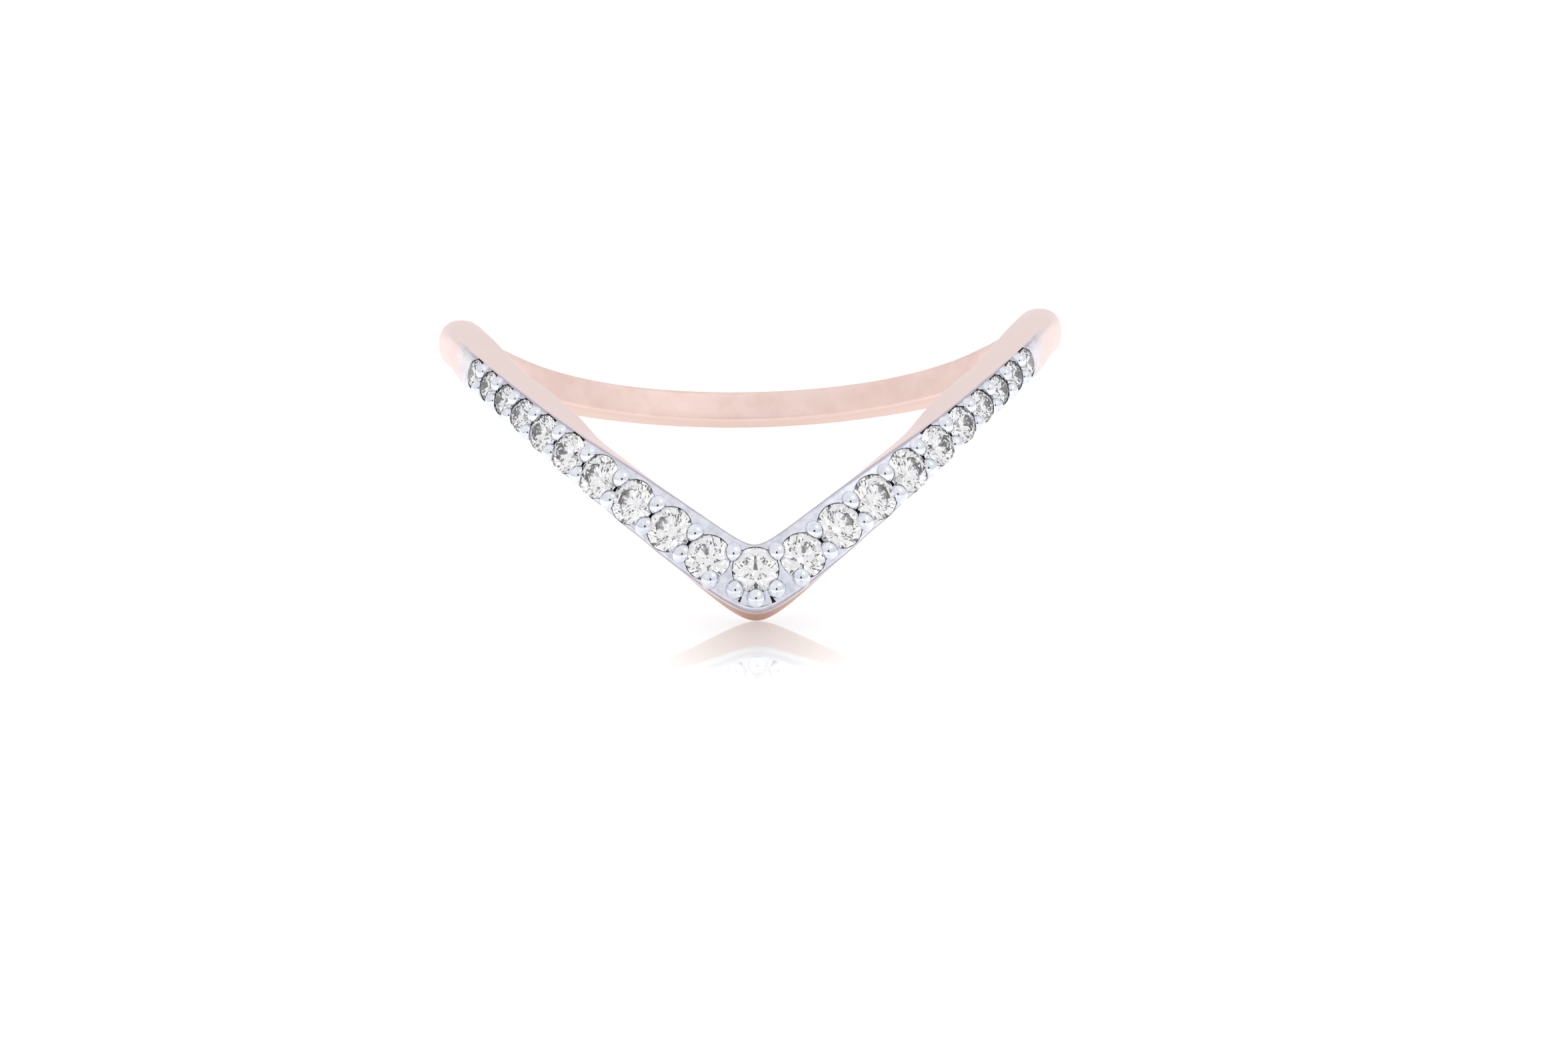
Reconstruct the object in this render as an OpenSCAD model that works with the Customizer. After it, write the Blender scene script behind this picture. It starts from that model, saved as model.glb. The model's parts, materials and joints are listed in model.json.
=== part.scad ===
// Chevron ring in two-tone gold: a slim plain band whose front dips to a V.
// The V's outer face carries a row of round brilliant stones that grow towards its tip,
// and a pair of round beads holds the stones at each gap between them.
// The ring lies as it does on a table: on the tip of the V and on the back of the band.
// Millimetres, +Z up. The origin is on the table, under the middle of the band's box.

/* [Finger hole] */
// Inside diameter of the ring
finger_d = 17.3; // [15:0.1:21]

/* [Band] */
// Width of the plain band at the back
band_w = 1.1; // [0.9:0.05:1.6]
// Thickness of the wall at the back
back_t = 1; // [0.8:0.05:1.5]
// Thickness of the wall under the stones
front_t = 1.55; // [1.4:0.05:2]
// Width of the band at its two sides
side_w = 1.45; // [1.15:0.05:1.7]
// How far the upper edge swells at the two sides
side_swell = 0.12; // [0:0.01:0.2]
// Rounding of the long edges along the set face
edge_r = 0.18; // [0.1:0.01:0.25]
// Rounding of the outer edges at the two sides
plain_r = 0.68; // [0.3:0.02:0.7]
// Rounding of the outer edges at the back
plain_r_back = 0.25; // [0.15:0.01:0.4]
// Rounding of the edges that the finger feels, under the set face
inner_r = 0.35; // [0.15:0.01:0.4]
// Rounding of the edges that the finger feels, at the back
inner_r_back = 0.16; // [0.1:0.01:0.25]

/* [Chevron] */
// How far the point of the V lies below the back of the band, middle line to middle line
v_drop = 11; // [7:0.1:12]
// Turn from the front at which the straight arms start to level out, in degrees
arm_end = 39; // [30:1:55]
// Turn from the front at which the band is level, in degrees
level_from = 111; // [90:1:125]
// Width of the set face at the tip of the V
face_w_tip = 1.85; // [1.8:0.05:2.4]
// Width of the set face where the stones end
face_w_end = 1.05; // [1.05:0.05:1.5]
// Extra metal below the last stones, where the band's lower edge bulges
end_swell = 0.14; // [0:0.01:0.2]
// Rounding of the V's outer point
point_out_r = 0.8; // [0.4:0.05:1]
// Rounding of the V's inner corner
point_in_r = 0.45; // [0.2:0.05:0.6]

/* [Stones] */
// Stones on each arm, beside the one at the tip
arm_stones = 10; // [7:1:10]
// Diameter of the largest stones, at the tip
stone_d = 1.4; // [1.2:0.01:1.46]
// Diameter of the smallest stones, at the arms' ends
stone_d_end = 0.92; // [0.8:0.01:0.96]
// Gap between the edges of neighbouring stones
stone_gap = 0.1; // [0.08:0.01:0.16]
// How far the stone at the tip sits above the point where the arms' middle lines meet
tip_stone_rise = 0.75; // [0.6:0.01:0.85]
// How far the stones' widest edge lies under the metal face
girdle_sink = 0.05; // [0:0.01:0.1]
// Clearance between a stone and the metal round it
seat_clear = 0.015; // [0.01:0.005:0.03]

/* [Beads] */
// Diameter of the largest beads
bead_d = 0.6; // [0.4:0.01:0.62]
// Distance between the two beads of a pair at the largest stones, centre to centre
bead_pair = 0.74; // [0.7:0.01:0.8]
// Height of the beads' round tops above the metal face
bead_rise = 0.24; // [0.15:0.01:0.3]
// How much steeper a pair of beads stands than square to its arm, in degrees
bead_turn = 5; // [0:1:10]

/* [Hidden] */
SIDES = ["left", "right"];
rose_gold = [0.86, 0.68, 0.60];
clear_stone = [0.90, 0.92, 0.95];

// Shares of a round brilliant's diameter
TABLE = 0.56;
CROWN = 0.155;
GIRDLE = 0.03;
PAVILION = 0.43;
MOUTH_LEAN = 20;

// Beads shrink less than their stones: this share of their size stays the same along the arms
BEAD_KEEP = 0.2;

// Beads round the tip, each beside one stone: which stone, the bead's direction from its middle in degrees,
// and how far from its edge the bead's middle lies, as a share of bead_d
TIP_BEADS = [
    // stone, direction, distance
    [0, 40, 0.25],
    [0, -43, 0.25],
    [1, -96, -0.07],
];
POINT_BEAD = [0, -90, 0.25];

finger_r = finger_d/2;
deg = 180/PI;
sections = 120;
set_to = 60;
side_at = 84;
arm_rise = v_drop/(arm_end + (level_from - arm_end)/2);

// Simple curves

function ease(t) = t <= 0 ? 0 : t >= 1 ? 1 : (1 - cos(180*t))/2;
function mix(a, b, t) = a + (b - a)*t;

// The band at a turn of a degrees from its front

function wall(a) = mix(front_t, back_t, ease((abs(a) - 60)/100));
function outer_r(a) = finger_r + wall(a);
function levelled(a) = (a - arm_end)/(level_from - arm_end);
function slope(a) = arm_rise*(1 - ease(levelled(a)));
function arm_height(a) =
    let (t = levelled(a))
    t <= 0 ? arm_rise*a
    : t >= 1 ? v_drop
    : arm_rise*(arm_end + (level_from - arm_end)*(t/2 + sin(180*t)/(2*PI)));
function middle_z(a) = arm_height(a) - v_drop;
function lean(a) = atan(slope(a)*deg/outer_r(a));
function band_width(a) =
    abs(a) < set_to
    ? mix(face_w_tip, face_w_end, ease(abs(a)/set_to))
    : abs(a) < side_at
    ? mix(face_w_end, side_w, ease((abs(a) - set_to)/(side_at - set_to)))
    : mix(side_w, band_w, ease((abs(a) - side_at)/70));
function plain_rounding(a) = mix(plain_r, plain_r_back, ease((abs(a) - side_at - 10)/50));
function outer_rounding(a) =
    min(mix(edge_r, plain_rounding(a), ease((abs(a) - set_to - 2)/18)), 0.47*band_width(a));
function inner_rounding(a) = min(mix(inner_r, inner_r_back, ease((abs(a) - side_at)/60)), 0.3*band_width(a));
function half_height(a) = band_width(a)/2/cos(lean(abs(a)));
function softened(a, r) = norm([a, r*deg/outer_r(0)]);
function swell(a, from, full, keep, to) =
    ease((abs(a) - from)/(full - from))*(1 - ease((abs(a) - keep)/(to - keep)));
function top_z(a) =
    middle_z(softened(a, point_in_r)) + half_height(a) + side_swell*swell(a, 58, 72, 95, 130);
function bottom_z(a) =
    middle_z(softened(a, point_out_r)) - half_height(a) - end_swell*swell(a, 44, 56, 60, 74);

// The band's section: its inner wall reaches a little into the finger hole, which is cut true afterwards
function quarter(y, z, r, from) = [for (d = [0:30:90]) [y + r*cos(from + d), z + r*sin(from + d)]];
function section(a) =
    let (t = top_z(a), b = bottom_z(a), c = outer_rounding(a), y = outer_r(a) - c, i = inner_rounding(a))
    concat(
        [for (p = quarter(finger_r + i, b + i, i, 180)) if (p[0] > finger_r + 0.02*i) p],
        quarter(y, b + c, c, -90),
        quarter(y, t - c, c, 0),
        [for (p = quarter(finger_r + i, t - i, i, 90)) if (p[0] > finger_r + 0.02*i) p],
        [[finger_r - i, t - 1.5*i], [finger_r - i, b + 1.5*i]]
    );

// Turns at which the sections stand, closest together at the tip
function turn(k) = let (u = 2*k/sections - 1) 90*(u + pow(u, 3));
function swung(p, a) = [p[0]*sin(a), -p[0]*cos(a), p[1]];

band_points = [for (k = [0:sections - 1], p = section(turn(k))) swung(p, turn(k))];

// How the ring lies: the plane that touches the tip and the back from below

tip_edge = [for (p = section(0)) [-p[0], p[1]]];
back_edge = [for (p = section(180)) [p[0], p[1]]];
rest_slope = min([for (b = back_edge) max([for (f = tip_edge) (b[1] - f[1])/(b[0] - f[0])])]);
rest_tilt = atan(rest_slope);
lift = -min([for (p = band_points) p[2]*cos(rest_tilt) - p[1]*sin(rest_tilt)]);
reach = [for (p = band_points) p[1]*cos(rest_tilt) + p[2]*sin(rest_tilt)];
shift_y = -(min(reach) + max(reach))/2;

module at_rest() {
    translate([0, shift_y, lift]) rotate([-rest_tilt, 0, 0]) children();
}

module on_side(side) {
    if (side == "left") mirror([1, 0, 0]) children();
    else children();
}

// Puts its children on the outer face, their +Z outwards and their +Y along the finger
module on_face(a, z) {
    rotate([0, 0, a]) translate([0, -outer_r(a), z]) rotate([90, 0, 0]) children();
}

// The stones' sizes and places along an arm, where stone 0 is the one at the tip

function stone_size(i) = mix(stone_d, stone_d_end, ease((i/arm_stones - 0.3)/0.55));
function pitch(i) = (stone_size(i) + stone_size(i + 1))/2 + stone_gap;
function run(a) = norm([outer_r(a)/deg, slope(a)]);
function next_turn(a, step) = a + step/run(a + step/run(a)/2);
first_turn =
    let (q = run(0), h = arm_rise*tip_stone_rise)
    (h + sqrt(h*h - q*q*(pow(tip_stone_rise, 2) - pow(pitch(0), 2))))/(q*q);
function stone_turns(i, a) = i > arm_stones ? [] : concat([a], stone_turns(i + 1, next_turn(a, pitch(i))));
TURNS = concat([0], stone_turns(1, first_turn));
function stone_z(i) = i == 0 ? tip_stone_rise - v_drop : middle_z(TURNS[i]);

module on_stone(i) {
    on_face(TURNS[i], stone_z(i)) children();
}

// A round brilliant's rims from its table down to its point: the radius and height of each
function rims(d) =
    let (r = d/2, g = GIRDLE*r, crown_r = 0.8*r, pavilion_r = 0.25*r)
    [
        [TABLE*r, g + CROWN*d],
        [crown_r, g + CROWN*d*(r - crown_r*cos(22.5))/(r - TABLE*r)],
        [r, g],
        [r, -g],
        [pavilion_r, -g - PAVILION*d*(1 - pavilion_r*cos(22.5)/r)],
        [0, -g - PAVILION*d],
    ];

// The room that a stone takes in the metal: each rim with its clearance, turned round the stone's axis
module stone_hollow(d) {
    rim = rims(d);
    c = seat_clear;
    translate([0, 0, -girdle_sink]) rotate_extrude($fn = 48) polygon(concat(
        [[0, rim[0][1] + c]],
        [for (i = [0:2]) rim[i] + [c, c]],
        [for (i = [3:4]) rim[i] + [c, -c]],
        [[0, rim[5][1] - 2*c]]
    ));
}

// The open mouth over a stone's widest edge, a little wider towards the face
module seat_mouth(d) {
    h = 0.2*d;
    r = d/2 + seat_clear/2;
    translate([0, 0, -girdle_sink]) cylinder(r1 = r, r2 = r + h*tan(MOUTH_LEAN), h = h, $fn = 48);
}

module bead(d) {
    translate([0, 0, bead_rise - d/2]) {
        sphere(d = d, $fn = 32);
        translate([0, 0, -0.7*d]) cylinder(d = 0.94*d, h = 0.7*d, $fn = 32);
    }
}

function bead_share(d) = mix(d/stone_d, 1, BEAD_KEEP);
function bead_size(d) = bead_d*bead_share(d);

module bead_by_stone(b) {
    d = stone_size(b[0]);
    off = d/2 + b[2]*bead_d;
    a = TURNS[b[0]] + off*cos(b[1])/outer_r(0)*deg;
    on_face(a, stone_z(b[0]) + off*sin(b[1])) bead(bead_size(d));
}

// The two beads in the gap after stone i
module bead_pair_after(i) {
    d = (stone_size(i) + stone_size(i + 1))/2;
    a = (TURNS[i] + TURNS[i + 1])/2;
    on_face(a, middle_z(a)) rotate([0, 0, lean(a) - bead_turn]) {
        for (s = [-1, 1]) translate([0, s*bead_pair/2*bead_share(d), 0]) bead(bead_size(d));
    }
}

module band_body() {
    n = len(section(0));
    faces = [
        for (k = [0:sections - 1], j = [0:n - 1])
            let (m = (k + 1)%sections, i = (j + 1)%n)
            each [[k*n + j, m*n + i, m*n + j], [k*n + j, k*n + i, m*n + i]]
    ];
    difference() {
        polyhedron(band_points, faces);
        cylinder(r = finger_r, h = 4*v_drop, center = true, $fn = 180);
    }
}

module band() {
    color(rose_gold) at_rest() difference() {
        union() {
            difference() {
                band_body();
                on_stone(0) seat_mouth(stone_d);
                for (side = SIDES, i = [1:arm_stones]) on_side(side) on_stone(i) seat_mouth(stone_size(i));
            }
            bead_by_stone(POINT_BEAD);
            for (side = SIDES) on_side(side) {
                for (b = TIP_BEADS) bead_by_stone(b);
                for (i = [1:arm_stones - 1]) bead_pair_after(i);
            }
        }
        on_stone(0) stone_hollow(stone_d);
        for (side = SIDES, i = [1:arm_stones]) on_side(side) on_stone(i) stone_hollow(stone_size(i));
    }
}

// A round brilliant, its widest edge at z = 0 and its table up
module brilliant(d) {
    rim = rims(d);
    function corner(p, a) = [p[0]*cos(a), p[0]*sin(a), p[1]];
    function round_rim(k, n, from) = [for (j = [0:n - 1]) corner(rim[k], from + j*360/n)];
    points = concat(
        round_rim(0, 8, 0),
        round_rim(1, 8, 22.5),
        round_rim(2, 16, 0),
        round_rim(3, 16, 0),
        round_rim(4, 8, 22.5),
        [[0, 0, rim[5][1]]]
    );
    // First point of each rim
    t = 0;
    m = 8;
    u = 16;
    l = 32;
    p = 48;
    culet = 56;
    faces = concat(
        [[for (j = [7:-1:0]) t + j]],
        [for (j = [0:7]) [t + j, t + (j + 1)%8, m + j]],
        [for (j = [0:7]) [t + j, m + j, u + 2*j, m + (j + 7)%8]],
        [for (j = [0:7]) [m + j, u + 2*j + 1, u + 2*j]],
        [for (j = [0:7]) [m + j, u + (2*j + 2)%16, u + 2*j + 1]],
        [for (j = [0:15]) [u + j, u + (j + 1)%16, l + (j + 1)%16, l + j]],
        [for (j = [0:7]) [p + j, l + 2*j, l + 2*j + 1]],
        [for (j = [0:7]) [p + j, l + 2*j + 1, l + (2*j + 2)%16]],
        [for (j = [0:7]) [culet, p + (j + 7)%8, l + 2*j, p + j]]
    );
    polyhedron(points, faces);
}

module stone(side, i) {
    color(clear_stone) at_rest() on_side(side) on_stone(i)
        translate([0, 0, -girdle_sink]) rotate([0, 0, 31*i]) brilliant(stone_size(i));
}

band();
stone("right", 0);  // stone_tip
for (side = SIDES, i = [1:arm_stones])
    stone(side, i);
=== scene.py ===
# %% [markdown]
# # A chevron ring in two-tone gold
# This lesson dresses a finger ring for a close-up. The plain hoop is rose gold. Its front dips to a V whose
# outer face is plated white and carries 21 round stones, each pinned by small round beads of metal.
# The solids of the ring are already made at their real size, so everything here is built in the same place.

# %% Load the ring's solids
import json
import math

import bmesh
import bpy
import numpy as np
from mathutils import Matrix, Vector

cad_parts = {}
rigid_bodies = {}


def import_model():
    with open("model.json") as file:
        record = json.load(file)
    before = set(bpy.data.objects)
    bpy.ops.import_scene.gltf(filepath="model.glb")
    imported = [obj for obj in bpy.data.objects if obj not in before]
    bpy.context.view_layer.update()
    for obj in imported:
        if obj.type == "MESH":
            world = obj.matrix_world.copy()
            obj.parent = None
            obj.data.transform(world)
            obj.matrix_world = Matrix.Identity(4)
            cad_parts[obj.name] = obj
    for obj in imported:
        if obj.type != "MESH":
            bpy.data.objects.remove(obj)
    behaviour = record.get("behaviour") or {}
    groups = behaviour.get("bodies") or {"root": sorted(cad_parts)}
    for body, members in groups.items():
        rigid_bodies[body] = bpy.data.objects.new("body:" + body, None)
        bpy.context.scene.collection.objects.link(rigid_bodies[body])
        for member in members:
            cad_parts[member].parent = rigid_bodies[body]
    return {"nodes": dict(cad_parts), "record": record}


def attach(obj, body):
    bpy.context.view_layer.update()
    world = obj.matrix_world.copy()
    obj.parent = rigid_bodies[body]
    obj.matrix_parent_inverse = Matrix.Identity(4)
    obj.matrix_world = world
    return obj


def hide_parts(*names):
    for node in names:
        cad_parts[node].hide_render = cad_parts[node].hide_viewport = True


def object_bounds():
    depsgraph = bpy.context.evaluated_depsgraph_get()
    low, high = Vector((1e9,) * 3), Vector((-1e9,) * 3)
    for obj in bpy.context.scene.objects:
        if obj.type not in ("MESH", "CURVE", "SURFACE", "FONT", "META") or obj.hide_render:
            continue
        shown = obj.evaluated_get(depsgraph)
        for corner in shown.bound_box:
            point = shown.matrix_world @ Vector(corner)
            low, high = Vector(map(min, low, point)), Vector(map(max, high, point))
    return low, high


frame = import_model()
solid_low, solid_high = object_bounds()
print(len(frame["nodes"]), "solids in the ring")

# %% [markdown]
# ## One unit and one place to work
# Jewellers think in millimetres and Blender in metres, so MM turns one into the other. The ring lies tilted,
# on the point of its V and on its back. It is far easier to model it upright, with the finger hole along Z,
# and to lay it down at the end. The record knows where the hole is and how it leans.

# %% From the upright ring to the lying ring
MM = 0.001
hole = frame["record"]["mounts"][0]
lean_back = math.atan2(hole["axis"][1], hole["axis"][2])
LYING = Matrix.Translation(hole["pos_m"]) @ Matrix.Rotation(-lean_back, 4, "X")
print("the hole's axis leans", round(math.degrees(lean_back), 1), "degrees from upright")

# %% [markdown]
# ## The ring's measurements
# These are the maker's own sizes in millimetres, the same ones that the solids were cut to. A turn is an
# angle round the finger, counted in degrees from the point of the V. A stretch of the band is four turns: a
# form starts to grow at the first, is full from the second to the third, and has gone at the fourth.

# %% Sizes in millimetres
FINGER = 8.65                       # radius of the finger hole
WALL_FRONT, WALL_BACK = 1.55, 1.0
WIDTH_BACK, WIDTH_SIDE = 1.1, 1.45
SIDE_SWELL, END_SWELL = 0.12, 0.14   # upper edge at the sides, lower edge at the arms' ends
AT_SIDES, AT_ARM_ENDS = (58, 72, 95, 130), (44, 56, 60, 74)
FACE_TIP, FACE_END = 1.85, 1.05     # width of the set face
DROP, ARM_END, LEVEL_FROM = 11.0, 39, 111
EDGE, PLAIN_EDGE, PLAIN_BACK = 0.18, 0.68, 0.25    # roundings of the outer edges
INNER_EDGE, INNER_BACK = 0.35, 0.16  # roundings of the edges that the finger feels
POINT_OUT, POINT_IN = 0.8, 0.45
SET_TO, SIDE_AT = 60, 84
STONES, STONE, STONE_END, STONE_GAP = 10, 1.4, 0.92, 0.1
TIP_RISE, SINK, CLEAR = 0.75, 0.05, 0.015
BEAD, BEAD_PAIR, BEAD_RISE = 0.6, 0.74, 0.24
BEAD_TURN, BEAD_KEEP = 5, 0.2        # degrees against the arm; how little a bead shrinks with its stones
OUTER = FINGER + WALL_FRONT
DEG = 180 / math.pi
HAIR = 0.001                         # what counts as the same place

# %% [markdown]
# ## How the band runs
# The arms of the V fall at a steady slope and then level out in a smooth curve. Everything on the ring
# follows that run, so it is written once, as a few short functions that work on numbers and on whole arrays.

# %% The band's run
def ease(t):
    t = np.clip(t, 0, 1)
    return (1 - np.cos(np.pi * t)) / 2


def mix(a, b, t):
    return a + (b - a) * t


ARM_RISE = DROP / (ARM_END + (LEVEL_FROM - ARM_END) / 2)


def outer_radius(turn):
    return FINGER + mix(WALL_FRONT, WALL_BACK, ease((np.abs(turn) - 60) / 100))


def levelled(turn):
    return np.clip((turn - ARM_END) / (LEVEL_FROM - ARM_END), 0, 1)


def slope(turn):
    return ARM_RISE * (1 - ease(levelled(turn)))


def middle(turn):
    t = levelled(turn)
    curve = ARM_END + (LEVEL_FROM - ARM_END) * (t / 2 + np.sin(np.pi * t) / (2 * np.pi))
    return np.where(t > 0, ARM_RISE * curve, ARM_RISE * turn) - DROP


def arm_lean(turn):
    return np.arctan(slope(turn) * DEG / outer_radius(turn))


def band_width(turn):
    turn = np.abs(turn)
    set_part = mix(FACE_TIP, FACE_END, ease(turn / SET_TO))
    shoulder = mix(FACE_END, WIDTH_SIDE, ease((turn - SET_TO) / (SIDE_AT - SET_TO)))
    plain = mix(WIDTH_SIDE, WIDTH_BACK, ease((turn - SIDE_AT) / 70))
    return np.where(turn < SET_TO, set_part, np.where(turn < SIDE_AT, shoulder, plain))


def swell(turn, stretch):
    """1 along the middle of a stretch of the band, 0 outside it, smooth between."""
    turn, (start, full, keep, end) = np.abs(turn), stretch
    return ease((turn - start) / (full - start)) * (1 - ease((turn - keep) / (end - keep)))


def edge_heights(turn):
    half = band_width(turn) / 2 / np.cos(arm_lean(np.abs(turn)))
    top = middle(np.hypot(turn, POINT_IN * DEG / OUTER)) + half
    bottom = middle(np.hypot(turn, POINT_OUT * DEG / OUTER)) - half
    return bottom - END_SWELL * swell(turn, AT_ARM_ENDS), top + SIDE_SWELL * swell(turn, AT_SIDES)


def outer_rounding(turn):
    plain = mix(PLAIN_EDGE, PLAIN_BACK, ease((np.abs(turn) - SIDE_AT - 10) / 50))
    wanted = mix(EDGE, plain, ease((np.abs(turn) - SET_TO - 2) / 18))
    return np.minimum(wanted, 0.47 * band_width(turn))


def inner_rounding(turn):
    wanted = mix(INNER_EDGE, INNER_BACK, ease((np.abs(turn) - SIDE_AT) / 60))
    return np.minimum(wanted, 0.3 * band_width(turn))


print("an arm leans", round(float(arm_lean(10)) * DEG, 1), "degrees")

# %% [markdown]
# ## Where the stones sit
# The largest stones are at the point and the smallest at the arms' ends. Each next stone is found by walking
# along the arm by half of each stone and the gap between them.

# %% Stone sizes and places
def stone_size(i):
    return float(mix(STONE, STONE_END, ease((i / STONES - 0.3) / 0.55)))


def pitch(i):
    return (stone_size(i) + stone_size(i + 1)) / 2 + STONE_GAP


def along(turn):
    return math.hypot(float(outer_radius(turn)) / DEG, float(slope(turn)))


def place_stones():
    q, h = along(0), ARM_RISE * TIP_RISE
    turns = [0, (h + math.sqrt(h * h - q * q * (TIP_RISE ** 2 - pitch(0) ** 2))) / (q * q)]
    for i in range(1, STONES):
        a, step = turns[-1], pitch(i)
        turns.append(a + step / along(a + step / along(a) / 2))
    return turns


TURNS = place_stones()


def stone_height(i):
    return TIP_RISE - DROP if i == 0 else float(middle(TURNS[i]))


print("stones at turns", [round(t, 1) for t in TURNS])

# %% [markdown]
# ## Small habits that keep edit mode safe
# An operator works on whatever is selected, so every step starts from nothing selected. `only` makes one
# object active, `pick` selects parts of it by a test on their place, and `edit` opens and closes edit mode.

# %% Selecting by place
def only(piece):
    for o in bpy.context.view_layer.objects:
        o.select_set(False)
    piece.select_set(True)
    bpy.context.view_layer.objects.active = piece
    return piece


class edit:
    def __init__(self, piece, mode="VERT"):
        self.piece, self.mode = only(piece), mode

    def __enter__(self):
        bpy.ops.object.mode_set(mode="EDIT")
        bpy.ops.mesh.select_mode(type=self.mode)
        bpy.ops.mesh.select_all(action="DESELECT")
        return self

    def pick(self, test):
        kind = {"VERT": "verts", "EDGE": "edges", "FACE": "faces"}[self.mode]
        bpy.ops.mesh.select_all(action="DESELECT")
        mesh = bmesh.from_edit_mesh(self.piece.data)
        for part in getattr(mesh, kind):
            part.select_set(bool(test(part)))
        mesh.select_flush_mode()
        bmesh.update_edit_mesh(self.piece.data)

    def __exit__(self, *error):
        bpy.ops.object.mode_set(mode="OBJECT")


def named(name):
    piece = bpy.context.object
    piece.name = piece.data.name = name
    return piece


def finish_modifiers(piece):
    only(piece)
    for m in list(piece.modifiers):
        bpy.ops.object.modifier_apply(modifier=m.name)
    return piece


def join_pieces(pieces, name):
    only(pieces[0])
    for p in pieces:
        p.select_set(True)
    if len(pieces) > 1:
        bpy.ops.object.join()
    return named(name)


def lay_down(piece):
    only(piece)
    piece.matrix_world = LYING @ piece.matrix_world
    bpy.ops.object.transform_apply(location=True, rotation=True, scale=True)
    return piece


print("ready to model")

# %% [markdown]
# ## The hoop
# A goldsmith starts from a bar with softened edges that is bent into a hoop. Here the bar's section is a
# plane stood on edge, its corners are bevelled, and `spin` sweeps it round the finger. Sweeping is better
# than a torus because the section keeps its flat face and crisp edges.

# %% Spin the hoop
HOOP_WIDTH, HOOP_EDGE, STEPS = 2.0, 0.3, 540

bpy.ops.mesh.primitive_plane_add(size=1)
hoop = named("band_metal")
hoop.scale = (WALL_FRONT * MM, HOOP_WIDTH * MM, 1)
hoop.rotation_euler = (math.pi / 2, 0, math.pi / 2)
hoop.location = (0, -(FINGER + WALL_FRONT / 2) * MM, 0)
only(hoop)
bpy.ops.object.transform_apply(location=True, rotation=True, scale=True)

with edit(hoop) as e:
    for is_outer, pieces in ((True, 6), (False, 4)):
        half_way = -(FINGER + WALL_FRONT / 2) * MM
        e.pick(lambda v: (v.co.y < half_way) == is_outer)
        bpy.ops.mesh.bevel(offset_type="OFFSET", offset=HOOP_EDGE * MM, segments=pieces, affect="VERTICES")
    bpy.ops.mesh.select_all(action="SELECT")
    bpy.ops.mesh.delete(type="ONLY_FACE")
with edit(hoop, "EDGE") as e:
    e.pick(lambda s: s.calc_length() > 0.5 * MM)
    bpy.ops.mesh.subdivide(number_cuts=3)
    bpy.ops.mesh.select_all(action="SELECT")
    bpy.ops.mesh.spin(steps=STEPS, angle=2 * math.pi, center=(0, 0, 0), axis=(0, 0, 1))
    bpy.ops.mesh.select_all(action="SELECT")
    bpy.ops.mesh.normals_make_consistent(inside=False)
print("hoop:", len(hoop.data.vertices), "points")

# %% [markdown]
# ## Bending the hoop to a V
# The real band is cast in its bent shape. No bend tool follows a V that wraps round a finger, so each point
# keeps its place in the section and moves to where the section stands on the band's run. Each corner gets its
# own rounding and only the flats stretch, which is why the moves go from stop to stop and aren't one scale.
# The file leaves its marks too: small curves along the lower edge, one under each stone, and softer edges.

# %% Move the hoop's points onto the run
SIDE_SOFT, SOFT_AT = 0.33, (60, 78, 100, 125)      # the inner edges, softened at the sides
INNER_SWELL, SWELL_AT = 0.22, (31, 38, 43, 54)     # the inner upper edge, swollen behind the arms
RIM_SOFT, RIM_AT = 0.12, (14, 40, 58, 70)          # the face's upper edge, rounded along the arms
FILED_FROM, FILED_LEAST, FILED_MORE = 3, 0.03, 0.07    # first stone with a curve, and the curves' depth
FILED_SHIFT = 1.0                                  # degrees that a curve stands nearer the point than its stone


def points_of(piece):
    co = np.empty(len(piece.data.vertices) * 3)
    piece.data.vertices.foreach_get("co", co)
    return co.reshape(-1, 3) / MM


def set_points(piece, co):
    piece.data.vertices.foreach_set("co", (np.asarray(co) * MM).ravel())
    piece.data.update()


def stretched(x, old, new):
    """Moves x from between the old stops to between the new ones, all arrays."""
    out = np.array(new[-1], float)
    for k in range(len(old) - 1, 0, -1):
        share = np.clip((x - old[k - 1]) / (old[k] - old[k - 1]), 0, 1)
        out = np.where(x <= old[k] + 1e-9, mix(new[k - 1], new[k], share), out)
    return out


def filed_up(turn):
    """How far the lower edge is filed up below each stone, most at the arms' ends."""
    out = np.zeros_like(turn)
    for i in range(FILED_FROM, STONES + 1):
        reach = (TURNS[i] - TURNS[i - 1]) / 2
        share = np.clip(np.abs(np.abs(turn) - TURNS[i] + FILED_SHIFT) / reach, 0, 1)
        out += (FILED_LEAST + FILED_MORE * ease((i - FILED_FROM) / 4)) * (1 + np.cos(np.pi * share)) / 2
    return out


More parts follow.
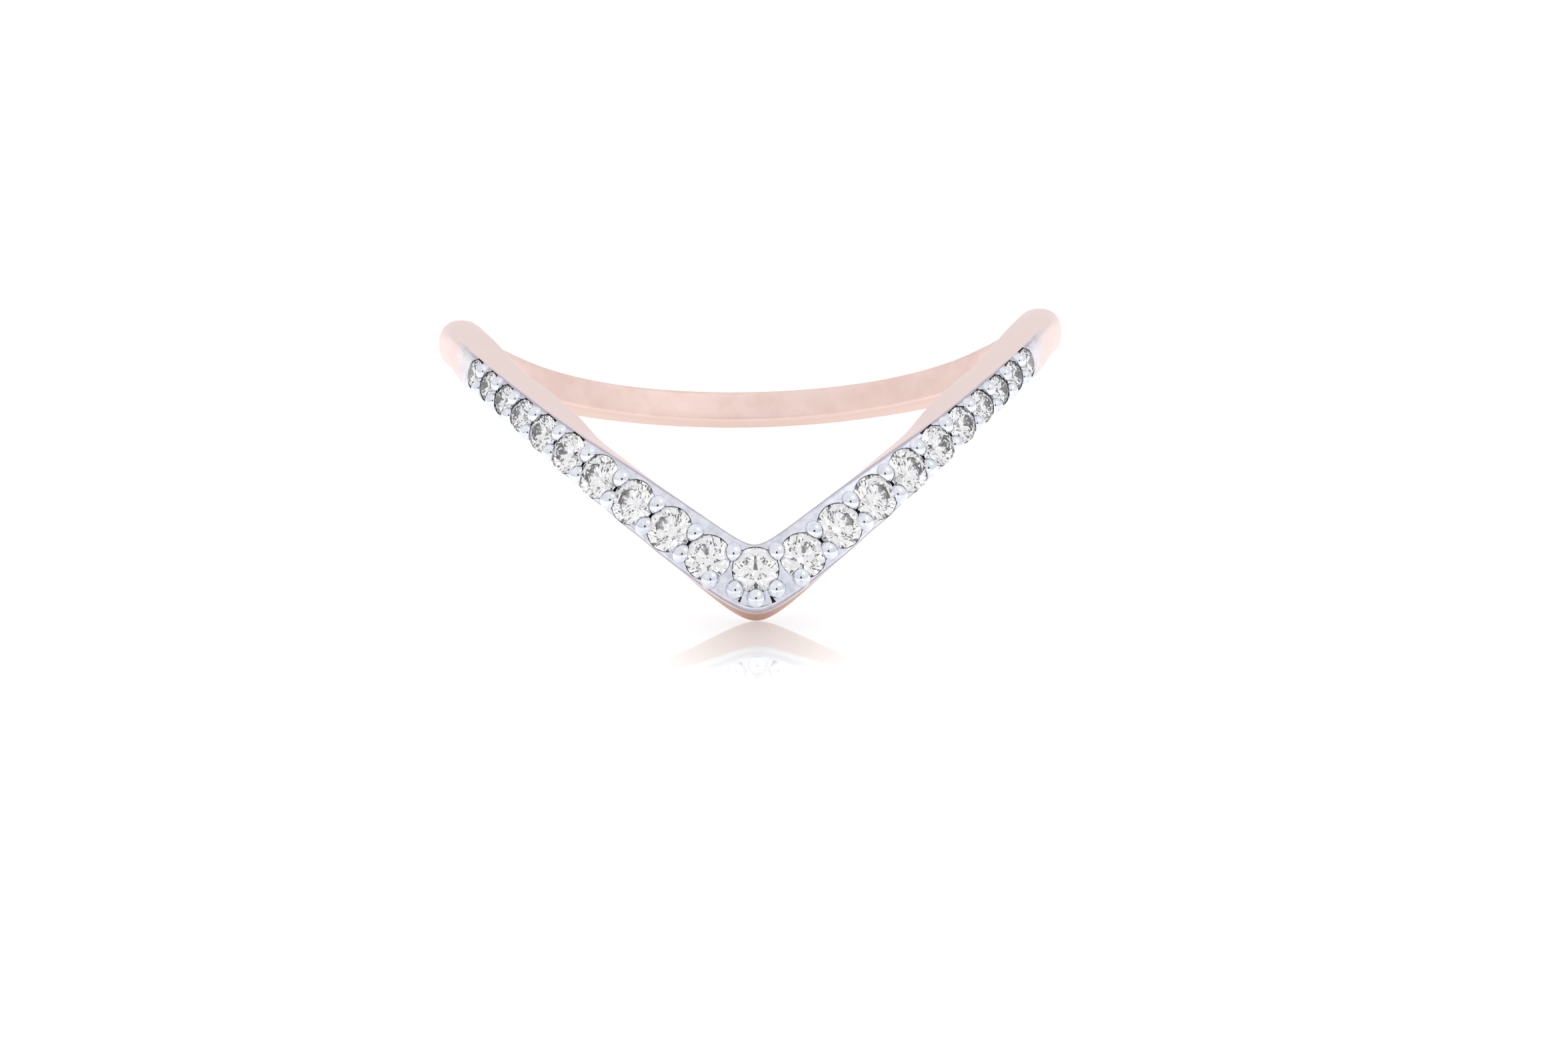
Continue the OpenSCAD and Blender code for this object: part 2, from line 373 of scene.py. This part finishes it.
def bend_to_v(co):
    turn = np.degrees(np.arctan2(co[:, 0], -co[:, 1]))
    r, z = np.hypot(co[:, 0], co[:, 1]), co[:, 2]
    face, outer_edge = outer_radius(turn), outer_rounding(turn)
    inner_edge = inner_rounding(turn) + SIDE_SOFT * swell(turn, SOFT_AT)
    bottom, top = edge_heights(turn)
    outward = np.clip((r - FINGER) / WALL_FRONT, 0, 1)
    bottom = bottom + filed_up(turn) * outward
    top = top + INNER_SWELL * swell(turn, SWELL_AT) * (1 - outward)
    outer_edge = np.where(z > 0, outer_edge + RIM_SOFT * swell(turn, RIM_AT), outer_edge)
    new_r = stretched(r, [FINGER, FINGER + HOOP_EDGE, OUTER - HOOP_EDGE, OUTER],
                      [np.full_like(turn, FINGER), FINGER + inner_edge, face - outer_edge, face])
    new_edge = np.where(r > FINGER + WALL_FRONT / 2, outer_edge, inner_edge)
    half = HOOP_WIDTH / 2
    new_z = stretched(z, [-half, -half + HOOP_EDGE, half - HOOP_EDGE, half],
                      [bottom, bottom + new_edge, top - new_edge, top])
    t = np.radians(turn)
    return np.stack([new_r * np.sin(t), -new_r * np.cos(t), new_z], 1)


set_points(hoop, bend_to_v(points_of(hoop)))
print("the V drops", round(float(np.ptp(points_of(hoop)[:, 2])), 1), "mm")

# %% [markdown]
# ## Working on the set face
# Seats and beads all stand square to the face. `on_face` gives the matrix of a small bench there: its Z
# points out of the metal, its Y runs up the finger, and it can be turned to lie along the arm.

# %% A bench on the face
def on_face(turn, height, side=1, turned=0.0, depth=0.0):
    r = float(outer_radius(turn)) + depth
    a = math.radians(turn)
    spot = Matrix.Translation(Vector((r * math.sin(a), -r * math.cos(a), height)) * MM)
    outwards = Matrix.Rotation(a, 4, "Z") @ Matrix.Rotation(math.pi / 2, 4, "X")
    bench = spot @ outwards @ Matrix.Rotation(turned, 4, "Z")
    return Matrix.Scale(-1, 4, (1, 0, 0)) @ bench if side < 0 else bench


def copy_at(model, matrix, size=1.0):
    piece = model.copy()
    piece.data = model.data.copy()
    bpy.context.scene.collection.objects.link(piece)
    piece.data.transform(matrix @ Matrix.Scale(size, 4))
    if matrix.determinant() < 0:
        piece.data.flip_normals()
    return piece


def put_away(model):
    data = model.data
    bpy.data.objects.remove(model)
    bpy.data.meshes.remove(data)


print("bench ready")

# %% [markdown]
# ## The cutters for the seats
# A setter drills a hole, opens it with a cone so that the stone's lower half fits, and lets its edge sink
# just under the face. The mouth is flared a little so that it catches the light. The cutter is that shape as
# one solid, a millimetre across: a cylinder whose two ends are extruded and scaled in turn.

# %% One seat cutter
# how far an end is drawn out, upwards or downwards, and how its rim is scaled then
SEAT_DRAWS = ((0.04, 1.03), (0.4, 1.15), (-0.33, 0.26), (-0.08, 0.02))


def small_cylinder(name, radius, low, high, sides=48):
    bpy.ops.mesh.primitive_cylinder_add(vertices=sides, radius=radius * MM, depth=(high - low) * MM,
                                        location=(0, 0, (low + high) / 2 * MM))
    piece = named(name)
    only(piece)
    bpy.ops.object.transform_apply(location=True, rotation=True, scale=True)
    return piece


def end_height(piece, upper):
    z = [v.co.z for v in bmesh.from_edit_mesh(piece.data).verts]
    return max(z) - HAIR * MM if upper else min(z) + HAIR * MM


def draw_out(e, piece, by, scale):
    """Extrudes the top face (by > 0) or the bottom face (by < 0) and scales its rim."""
    stop = end_height(piece, by > 0)
    e.pick(lambda f: f.calc_center_median().z > stop if by > 0 else f.calc_center_median().z < stop)
    bpy.ops.mesh.extrude_region_move(TRANSFORM_OT_translate={"value": (0, 0, by * MM)})
    bpy.ops.transform.resize(value=(scale, scale, 1), center_override=(0, 0, 0))


seat_cutter = small_cylinder("seat_cutter", 0.5, -0.06, 0)
with edit(seat_cutter, "FACE") as e:
    for by, scale in SEAT_DRAWS:
        draw_out(e, seat_cutter, by, scale)
print("seat cutter:", len(seat_cutter.data.polygons), "faces")

# %% [markdown]
# ## Cuts between the beads
# After drilling, the setter saws across the thin wall between two stones, so the two beads of each pair stand
# as separate pillars with a small dark square between them. Above the smaller stones, near the arms' ends, a
# narrow slot is opened. At the point, a graver leaves a wedge on each side of the lowest bead. All three
# cutters start as a cube; the wedge is a cube with one end scaled to an edge.

# %% Saw, slot and graver
def small_cube(name, size, place):
    bpy.ops.mesh.primitive_cube_add(size=1, location=Vector(place) * MM)
    piece = named(name)
    piece.scale = Vector(size) * MM
    only(piece)
    bpy.ops.object.transform_apply(location=True, rotation=True, scale=True)
    return piece


saw_cutter = small_cube("saw_cutter", (0.5, 0.2, 0.8), (0, 0, -0.05))
slot_cutter = small_cube("slot_cutter", (0.44, 0.17, 0.41), (0, 0.43, -0.04))
graver_cutter = small_cube("graver_cutter", (0.13, 0.3, 0.4), (0, 0, 0))
with edit(graver_cutter, "FACE") as e:
    e.pick(lambda f: f.normal.y > 0.9)
    bpy.ops.transform.resize(value=(0.15, 1, 1), center_override=(0, 0, 0))
print("saw, slot and graver ready")

# %% [markdown]
# ## Cutting the seats
# Every cutter is copied to its place, the copies are joined and a Boolean takes them out of the hoop. The
# exact solver is slower than the fast one and far more reliable, but neighbouring seats touch and even it can
# lose one then. So every other seat is cut first, the seats between them next, and the narrow cuts last. Each
# cutter has its own material, and the Boolean leaves it on the walls that it cuts.

# %% Cut the hoop
SLOTS_FROM = 5                       # the first stone with a slot above it
GRAVER_AT, GRAVER_OUT = -62, 0.3     # degrees round the stone at the point, and how far outside its edge


def blank(name):
    m = bpy.data.materials.get(name) or bpy.data.materials.new(name)
    m.use_nodes = True
    return m


hoop.data.materials.append(blank("two_tone_gold"))
seat_spots = [(i, -1) for i in range(STONES, 0, -1)] + [(i, 1) for i in range(STONES + 1)]
seats, cuts = [], []
for i, side in seat_spots:
    bench = on_face(TURNS[i], stone_height(i), side, depth=-SINK + 0.03 * stone_size(i))
    seats.append(copy_at(seat_cutter, bench, stone_size(i) + 2 * CLEAR))
for side in (1, -1):
    for i in range(1, STONES):
        turn = (TURNS[i] + TURNS[i + 1]) / 2
        size = (stone_size(i) + stone_size(i + 1)) / 2 / STONE
        cuts.append(copy_at(saw_cutter, on_face(turn, float(middle(turn)), side, float(arm_lean(turn))), size))
for side in (1, -1):
    for i in range(SLOTS_FROM, STONES + 1):
        bench = on_face(TURNS[i], stone_height(i), side, float(arm_lean(TURNS[i])))
        cuts.append(copy_at(slot_cutter, bench, stone_size(i)))
for side, size in ((1, 1.0), (-1, 0.7)):
    reach, way = STONE / 2 + GRAVER_OUT, math.radians(GRAVER_AT)
    turn, height = math.degrees(reach * math.cos(way) / OUTER), stone_height(0) + reach * math.sin(way)
    cuts.append(copy_at(graver_cutter, on_face(turn, height, side, way + math.pi / 2), size))
# The saw, slot and graver walls get a near-black finish, which is painted shade for the deep gaps.
for batch, wall in ((seats, "seat_wall"), (cuts, "painted_shade_cut")):
    for c in batch:
        c.data.materials.append(blank(wall))


def cut(piece, tool):
    m = piece.modifiers.new("cut", "BOOLEAN")
    m.show_viewport = False
    m.object, m.operation, m.solver = tool, "DIFFERENCE", "EXACT"
    m.use_self, m.material_mode = True, "TRANSFER"
    finish_modifiers(piece)


for batch in (seats[0::2], seats[1::2], cuts):
    tool = join_pieces(batch, "cutters")
    cut(hoop, tool)
    put_away(tool)
for tool in (seat_cutter, saw_cutter, slot_cutter, graver_cutter):
    put_away(tool)
print("cut hoop:", len(hoop.data.polygons), "faces in", len(hoop.data.materials), "materials")

# %% [markdown]
# ## The beads
# A bead is a pin of metal that the setter pushes over a stone's edge and rounds with a hollow punch. One is
# modelled, a slightly oval ball whose lower part is cut off and drawn down into a pin, and the rest are copies.
# Bisect takes points within a tenth of a millimetre for points on its plane, which is far too coarse for a
# bead, so its threshold is set as well.

# %% One bead, a millimetre across
bpy.ops.mesh.primitive_uv_sphere_add(segments=28, ring_count=16, radius=0.5 * MM)
bead = named("bead")
with edit(bead, "FACE") as e:
    bpy.ops.mesh.select_all(action="SELECT")
    bpy.ops.transform.resize(value=(1, 1.08, 1), center_override=(0, 0, 0))
    bpy.ops.mesh.bisect(plane_co=(0, 0, -0.17 * MM), plane_no=(0, 0, 1), clear_inner=True, use_fill=True,
                        threshold=HAIR * MM)
    e.pick(lambda f: f.normal.z < -0.99)
    bpy.ops.mesh.extrude_region_move(TRANSFORM_OT_translate={"value": (0, 0, -0.7 * MM)})
    bpy.ops.mesh.select_all(action="SELECT")
    bpy.ops.mesh.normals_make_consistent(inside=False)
print("bead:", len(bead.data.vertices), "points")

# %% [markdown]
# ## Setting the beads
# Along an arm the beads stand in pairs, one on each side of the gap between two stones. Round the point they
# are placed one by one: each is given by the stone it holds, its direction from that stone in degrees, and how
# far its middle lies outside the stone's edge, as a share of a bead.

# %% Place the beads
NEAR_TIP = [(0, 40, 0.25), (0, -43, 0.25), (1, -96, -0.07)]
LOWEST = (0, -90, 0.25)


def bead_share(stone):
    return mix(stone / STONE, 1, BEAD_KEEP)


def bead_at(turn, height, side, turned, stone):
    size = BEAD * bead_share(stone)
    return copy_at(bead, on_face(turn, height, side, turned, BEAD_RISE - size / 2), size)


def bead_by_stone(which, direction, outside, side):
    d = stone_size(which)
    reach, way = d / 2 + outside * BEAD, math.radians(direction)
    turn = TURNS[which] + reach * math.cos(way) / OUTER * DEG
    return bead_at(turn, stone_height(which) + reach * math.sin(way), side, 0, d)


beads = [bead_by_stone(*LOWEST, 1)]
for side in (1, -1):
    beads += [bead_by_stone(*b, side) for b in NEAR_TIP]
    for i in range(1, STONES):
        d = (stone_size(i) + stone_size(i + 1)) / 2
        turn = (TURNS[i] + TURNS[i + 1]) / 2
        lean, off = float(arm_lean(turn)) - BEAD_TURN / DEG, BEAD_PAIR / 2 * bead_share(d)
        for way in (-1, 1):
            along_turn = turn - way * off * math.sin(lean) / float(outer_radius(turn)) * DEG
            height = float(middle(turn)) + way * off * math.cos(lean)
            beads.append(bead_at(along_turn, height, side, lean, d))
bead_count = len(beads)
beads = join_pieces(beads, "bead_metal")
put_away(bead)
print(bead_count, "beads")

# %% [markdown]
# ## Room for the stones in the beads
# Each bead laps over the slope of a stone's upper half. A second cutter with that slope takes the stones'
# room out of the beads, so metal and stone touch all along without running into each other.

# %% Fit the beads to the stones
ROOM_DRAWS = ((0.1, 0.8), (0.075, 0.7), (-0.33, 0.26))
stone_room = small_cylinder("stone_room", 0.5, -0.05, 0.01)
with edit(stone_room, "FACE") as e:
    for by, scale in ROOM_DRAWS:
        draw_out(e, stone_room, by, scale)
rooms = join_pieces([copy_at(stone_room, on_face(TURNS[i], stone_height(i), side, depth=-SINK + 0.02),
                             stone_size(i) + 2 * CLEAR) for i, side in seat_spots], "all_rooms")
beads.data.materials.append(blank("bead_gold"))
rooms.data.materials.append(blank("seat_wall"))
cut(beads, rooms)
put_away(rooms)
put_away(stone_room)
print("fitted beads:", len(beads.data.polygons), "faces")

# %% [markdown]
# ## Shading angle and lying down
# Polished metal is smooth across its roundings and sharp at its cuts, so faces are smoothed only where they
# meet at less than 35 degrees. Then the pieces are laid on the table as the solids lie.

# %% Smooth and lay down
for piece in (hoop, beads):
    only(piece)
    bpy.ops.object.shade_smooth_by_angle(angle=math.radians(35))
    finish_modifiers(piece)
    lay_down(piece)
    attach(piece, "root")
    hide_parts("band")
heights = [corner[2] / MM for corner in hoop.bound_box]
print("the metal lies between", round(min(heights), 2), "and", round(max(heights), 2), "mm")

# %% [markdown]
# ## Writing shader maths
# A finish is a short calculation for each point of the surface. Node by node that is hard to read, so a small
# class lets the nodes be written like sums. `node` makes any other node with its settings and sockets.

# %% Sums made of nodes
class Wire:
    """One output socket that can be added, scaled and compared."""
    tree = None

    def __init__(self, socket):
        self.socket = socket

    @classmethod
    def node(cls, kind, out=0, settings=None, **sockets):
        n = cls.tree.nodes.new("ShaderNode" + kind)
        for key, value in (settings or {}).items():
            setattr(n, key, value)
        for key, value in sockets.items():
            place = int(key[1:]) if key[0] == "s" and key[1:].isdigit() else key.replace("_", " ")
            plug(cls.tree, n.inputs[place], value)
        return n if out is None else Wire(n.outputs[out])

    def maths(self, kind, *others, clamp=False):
        sockets = {"s%d" % k: v for k, v in enumerate((self,) + others)}
        return Wire.node("Math", settings={"operation": kind, "use_clamp": clamp}, **sockets)

    def __add__(self, o): return self.maths("ADD", o)
    def __radd__(self, o): return self.maths("ADD", o)
    def __sub__(self, o): return self.maths("SUBTRACT", o)
    def __rsub__(self, o): return Wire.node("Math", settings={"operation": "SUBTRACT"}, s0=o, s1=self)
    def __mul__(self, o): return self.maths("MULTIPLY", o)
    def __rmul__(self, o): return self.maths("MULTIPLY", o)
    def __truediv__(self, o): return self.maths("DIVIDE", o)
    def __rtruediv__(self, o): return Wire.node("Math", settings={"operation": "DIVIDE"}, s0=o, s1=self)
    def __pow__(self, o): return self.maths("POWER", o)
    def __abs__(self): return self.maths("ABSOLUTE")

    def fade(self, start, end):
        """0 at start, 1 at end, smooth between."""
        return Wire.node("MapRange", settings={"interpolation_type": "SMOOTHSTEP"}, Value=self,
                         From_Min=start, From_Max=end)

    def tint(self, low, high):
        return Wire.node("Mix", out=2, settings={"data_type": "RGBA"}, s0=self, s6=(*low, 1), s7=(*high, 1))


def plug(tree, socket, value):
    if isinstance(value, Wire):
        tree.links.new(value.socket, socket)
    else:
        socket.default_value = value


def finish_of(name):
    """An empty material to wire up: returns it with its shader."""
    m = blank(name)
    Wire.tree = m.node_tree
    m.node_tree.nodes.clear()
    shader = m.node_tree.nodes.new("ShaderNodeBsdfPrincipled")
    out = m.node_tree.nodes.new("ShaderNodeOutputMaterial")
    m.node_tree.links.new(shader.outputs[0], out.inputs["Surface"])
    return m, shader


def set_sockets(shader, **values):
    for key, value in values.items():
        plug(Wire.tree, shader.inputs[key.replace("_", " ")], value)


print("shader sums ready")

# %% [markdown]
# ## Where on the ring a point is
# The plating covers only the face of the V. The shader has to know each point's turn round the finger and its
# distance from the hole's axis, so the point is stood upright again by the same lean that laid the ring down.
# `speckle` is the noise that every finish is made of, and `blended` mixes two colours by a share.

# %% The point's place, in millimetres
def own_place():
    return Wire.node("TexCoord", out=3)


def round_the_finger(place):
    axes = Wire.node("SeparateXYZ", out=None, Vector=place)
    x, y, z = (Wire(axes.outputs[k]) / MM for k in range(3))
    y, z = y - hole["pos_m"][1] / MM, z - hole["pos_m"][2] / MM
    y = y * math.cos(lean_back) - z * math.sin(lean_back)
    turn = abs(Wire.node("Math", settings={"operation": "ARCTAN2"}, s0=x, s1=y * -1)) * DEG
    return turn, (x * x + y * y) ** 0.5


def blended(share, low, high):
    low, high = (c if isinstance(c, Wire) else (*c, 1) for c in (low, high))
    return Wire.node("Mix", out=2, settings={"data_type": "RGBA"}, s0=share, s6=low, s7=high)


def speckle(place, per_mm, detail=2.0, roughness=0.5):
    return Wire.node("TexNoise", Vector=place, Scale=per_mm / MM, Detail=detail, Roughness=roughness)


def ripples(height, strength, distance):
    return Wire.node("Bump", Height=height, Strength=strength, Distance=distance * MM)


print("the shader can find its place")

# %% [markdown]
# ## Two-tone gold
# The casting is rose gold. Its set face is dipped in white plating, which reaches a little over the rims,
# further on the underside than above, and fades out past the last stones. The plain gold is satin from the
# polishing mop, with a soft mottle and fine hairlines, and paler towards the arms. Its underside is painted
# deeper, most of all under the point, as painted shade. The plating is brighter, cooler and a little uneven,
# and a darker mauve line is painted along the rounding of its edges as painted shade. Colour and roughness
# both follow one mask.

# %% Finish of the band
ROSE, ROSE_DEEP = (0.86, 0.68, 0.63), (0.81, 0.61, 0.555)
ROSE_PALE, ROSE_UNDER_SHADE, ROSE_POINT_SHADE = (0.84, 0.71, 0.69), (0.75, 0.575, 0.515), (0.62, 0.38, 0.29)
WHITE, WHITE_COOL, RIM_SHADE = (0.76, 0.78, 0.85), (0.60, 0.615, 0.70), (0.42, 0.36, 0.41)

gold, shader = finish_of("two_tone_gold")
place = own_place()
turn, radius = round_the_finger(place)
edge_wander = speckle(place, 1.6) * 0.04 - 0.02
depth = OUTER - radius + edge_wander
facing = Wire.node("VectorMath", out=1, settings={"operation": "DOT_PRODUCT"},
                   s0=Wire.node("NewGeometry", out=1), s1=tuple(hole["axis"]))
under = facing.fade(-0.3, -0.8)
reach = 0.12 + under * (0.22 + turn.fade(3, 22) * 0.4)
plated = (depth - reach).fade(0.05, -0.05) * (turn + edge_wander * 120).fade(68, 58)
# Painted shade: a darker mauve line along the rounding of the plated edges.
rim = depth.fade(0.01, 0.06) * depth.fade(0.2, 0.1) * plated
mottle = speckle(place, 1.3, 4.0, 0.6)
rose = blended(turn.fade(95, 70) * 0.8, mottle.fade(0.3, 0.75).tint(ROSE, ROSE_DEEP), ROSE_PALE)
# Painted shade: the underside is painted a deeper rose, and deepest of all under the point.
rose = blended(under, rose, blended(turn.fade(30, 5), ROSE_UNDER_SHADE, ROSE_POINT_SHADE))
white = speckle(place, 3.0, 3.0, 0.65).fade(0.35, 0.7).tint(WHITE, WHITE_COOL)
colour = blended(plated, rose, blended(rim * 0.8, white, RIM_SHADE))
hairlines = speckle(Wire.node("Mapping", Vector=place, Scale=(1, 1, 6)), 5.0, 2.0, 0.7)
grain = speckle(place, 14.0, 2.0, 0.6)
wear = (hairlines * 0.6 + grain * 0.4) * (1 - plated * 0.3)
rough = mix(0.45, 0.24, plated) + (grain - 0.5) * 0.12
set_sockets(shader, Base_Color=colour, Metallic=1.0, Roughness=rough, Normal=ripples(wear, 0.25, 0.004))
print("band finish:", len(gold.node_tree.nodes), "nodes")

# %% [markdown]
# ## Burnished beads
# The beads are burnished by the punch, so they are the brightest metal, with only a faint ripple and a few
# duller spots.

# %% Finish of the beads
BEAD_WHITE, BEAD_COOL = (0.82, 0.84, 0.90), (0.68, 0.70, 0.78)

bead_gold, shader = finish_of("bead_gold")
place = own_place()
ripple = speckle(place, 4.0, 2.0, 0.6)
set_sockets(shader, Base_Color=ripple.fade(0.3, 0.75).tint(BEAD_WHITE, BEAD_COOL), Metallic=1.0,
            Roughness=0.07 + speckle(place, 9.0) * 0.08, Normal=ripples(ripple, 0.3, 0.006))
print("bead finish:", len(bead_gold.node_tree.nodes), "nodes")

# %% [markdown]
# ## Seats and saw cuts
# The seats' walls are drilled metal, a little duller than the face, and throw light back into the stones. The
# saw's, the slot's and the graver's cuts are painted nearly black as painted shade for these deep gaps, which
# is why they show as small dark marks.

# %% Finish of the cuts
def cut_finish(name, per_mm, pale_tone, deep_tone, metal, dullness):
    # For the seats the two tones are the drilled metal's own; for the narrow cuts both tones are painted shade.
    wall, shader = finish_of(name)
    blotches = speckle(own_place(), per_mm, 3.0, 0.6)
    set_sockets(shader, Base_Color=blotches.fade(0.3, 0.7).tint(pale_tone, deep_tone), Metallic=metal,
                Roughness=dullness + blotches * 0.2, Normal=ripples(blotches, 0.3, 0.01))
    return wall


# The second finish is near-black painted shade for the deep saw, slot and graver cuts.
for wall in (cut_finish("seat_wall", 6.0, (0.80, 0.80, 0.84), (0.62, 0.60, 0.63), 1.0, 0.3),
             cut_finish("painted_shade_cut", 8.0, (0.24, 0.18, 0.21), (0.10, 0.075, 0.09), 0.0, 0.5)):
    print(wall.name, "finish:", len(wall.node_tree.nodes), "nodes")

# %% [markdown]
# ## The stones
# The stones are the solids themselves: their flat facets are already right, and a smooth finish would spoil
# them. They bend light far more than glass does, so most light that enters from above is thrown back up. Fine
# polish marks on the facets and faint clouds inside keep them from looking like empty glass.

# %% Finish of the stones
brilliant, shader = finish_of("brilliant_stone")
place = own_place()
cloud = speckle(place, 2.2, 3.0, 0.6)
set_sockets(shader, Base_Color=cloud.fade(0.35, 0.75).tint((1.0, 1.0, 1.0), (0.93, 0.93, 0.96)), Metallic=0.0,
            Roughness=speckle(place, 11.0) * 0.03, IOR=2.42, Transmission_Weight=1.0,
            Normal=ripples(speckle(place, 20.0), 0.05, 0.002))
stones = [o for name, o in frame["nodes"].items() if name.startswith("stone_")]
for stone in stones:
    stone.data.materials.clear()
    stone.data.materials.append(brilliant)
print(len(stones), "stones dressed")

# %% [markdown]
# ## The table
# The ring lies on a white, glossy sheet that mirrors it faintly. The sheet is a stage and no part of the ring.
# It glows a little, so that it stays pure white in the picture and carries no heavy shadow. Its gloss is
# strongest at the point of the V and fades out a few millimetres from it, as the mirror image does in the
# picture. The sheet's own coordinates start at its middle, so the point's place is counted from there.

# %% White glossy sheet
SHEET, SHEET_Y, SHEET_Z = 1.6, 0.3, -0.00002        # in metres; a hair below the ring
GLOW, GLOSS, GLOSS_FROM, GLOSS_TO = 0.86, 0.5, 0.5, 8    # the last two in millimetres from the point
PAPER, PAPER_DARK = (0.36, 0.36, 0.36), (0.34, 0.34, 0.34)

bpy.ops.mesh.primitive_plane_add(size=SHEET, location=(0, SHEET_Y, SHEET_Z))
sheet = named("table_sheet")
sheet_finish, shader = finish_of("white_sheet")
place = own_place()
set_sockets(shader, Base_Color=speckle(place, 0.02).fade(0.2, 0.8).tint(PAPER, PAPER_DARK),
            Roughness=0.6, Emission_Color=(1, 1, 1, 1), Emission_Strength=GLOW)
mirror = Wire.tree.nodes.new("ShaderNodeBsdfGlossy")
mirror.inputs["Roughness"].default_value = 0.03
point = (0, solid_low[1] - SHEET_Y, 0)
from_point = Wire.node("VectorMath", out=1, settings={"operation": "DISTANCE"}, s0=place, s1=point)
blend = Wire.tree.nodes.new("ShaderNodeMixShader")
plug(Wire.tree, blend.inputs[0], mix(GLOSS, 0.0, (from_point / MM).fade(GLOSS_FROM, GLOSS_TO)))
Wire.tree.links.new(shader.outputs[0], blend.inputs[1])
Wire.tree.links.new(mirror.outputs[0], blend.inputs[2])
Wire.tree.links.new(blend.outputs[0], Wire.tree.nodes["Material Output"].inputs["Surface"])
sheet.data.materials.append(sheet_finish)
print("table ready")

# %% [markdown]
# ## Soft light from all round
# Jewellery is photographed inside a white tent. The world is that tent: bright overhead, a little darker low
# down, which gives round metal its soft grey edges. One broad, weak lamp on the right adds the highlights.

# %% Tent and lamp
LAMP_AT, LAMP_SIZE, LAMP_POWER = (120, -80, 190), 150, 0.02     # in millimetres, and in watts

world = bpy.data.worlds.new("light_tent")
bpy.context.scene.world = world
world.use_nodes = True
Wire.tree = world.node_tree
world.node_tree.nodes.clear()
way = Wire.node("SeparateXYZ", out=None, Vector=Wire.node("TexCoord", out=0))
up = Wire(way.outputs[2])
tent = up.fade(-0.1, 0.6).tint((0.88, 0.88, 0.9), (1.0, 1.0, 1.0))
back = Wire.node("Background", Color=tent, Strength=1.0)
out = world.node_tree.nodes.new("ShaderNodeOutputWorld")
world.node_tree.links.new(back.socket, out.inputs["Surface"])

bpy.ops.object.light_add(type="AREA", location=Vector(LAMP_AT) * MM)
lamp = named("lamp_right")
lamp.data.shape, lamp.data.size, lamp.data.energy = "DISK", LAMP_SIZE * MM, LAMP_POWER
lamp.rotation_euler = (-lamp.location).to_track_quat("-Z", "Y").to_euler()
print("tent and lamp ready")

# %% [markdown]
# ## The camera
# The picture was taken with a long lens from 150 mm away, a little under the ring's own plane. As the ring
# leans back on the table, that is still well above the table. The camera is aimed so that the finger hole's
# middle falls on its place in the frame, left of and above the middle.

# %% Place the camera
FRAME_W, FRAME_H, LENS, SENSOR = 2352, 1568, 105.57, 36.0
AWAY, BELOW, ASIDE, ROLL = 150.0, 16.238, 0.059, 1.183   # millimetres from the hole's middle, then degrees
HOLE_PX = (1125.5, 504.1)

b, a, r = (math.radians(v) for v in (BELOW, ASIDE, ROLL))
forward = Vector((math.sin(a) * math.cos(b), math.cos(a) * math.cos(b), math.sin(b)))
level = Vector((math.cos(a), -math.sin(a), 0))
upward = level.cross(forward)
right, top = level * math.cos(r) - upward * math.sin(r), level * math.sin(r) + upward * math.cos(r)
aim = Matrix((right, top, -forward)).transposed()
focal = LENS / SENSOR * FRAME_W
wanted = Vector((HOLE_PX[0] - FRAME_W / 2, FRAME_H / 2 - HOLE_PX[1], -focal)).normalized()
aim = aim @ wanted.rotation_difference(Vector((0, 0, -1))).to_matrix()
bpy.ops.object.camera_add()
camera = bpy.context.object
camera.matrix_world = LYING @ Matrix.Translation(forward * -AWAY * MM) @ aim.to_4x4()
camera.data.lens, camera.data.sensor_width = LENS, SENSOR
camera.data.clip_start, camera.data.clip_end = 0.001, 10
bpy.context.scene.camera = camera
print("camera stands", round(camera.matrix_world.translation.z / MM, 1), "mm above the table")

# %% [markdown]
# ## The dark opening in the tent
# The tent has a hole for the lens, and each round bead mirrors it as one tiny black dot. A dark disc behind
# the camera stands in for it. It is seen only in reflections.

# %% Dark opening
OPENING, OPENING_BEHIND = 30, 8      # its radius, and how far behind the camera it stands
opening_at = LYING @ (forward * -(AWAY + OPENING_BEHIND) * MM)
bpy.ops.mesh.primitive_circle_add(vertices=48, radius=OPENING * MM, fill_type="NGON", location=opening_at)
opening = named("tent_opening")
opening.rotation_euler = (opening_at - LYING.translation).to_track_quat("Z", "Y").to_euler()
dark, shader = finish_of("dark_opening")
cloth = speckle(own_place(), 0.05)
set_sockets(shader, Base_Color=cloth.tint((0.01, 0.01, 0.012), (0.02, 0.02, 0.022)), Roughness=0.9)
opening.data.materials.append(dark)
opening.visible_camera = opening.visible_shadow = opening.visible_diffuse = False

scene = bpy.context.scene
scene.view_settings.view_transform = "Standard"
scene.view_settings.look = "None"
print("the opening is", 2 * OPENING, "mm wide")
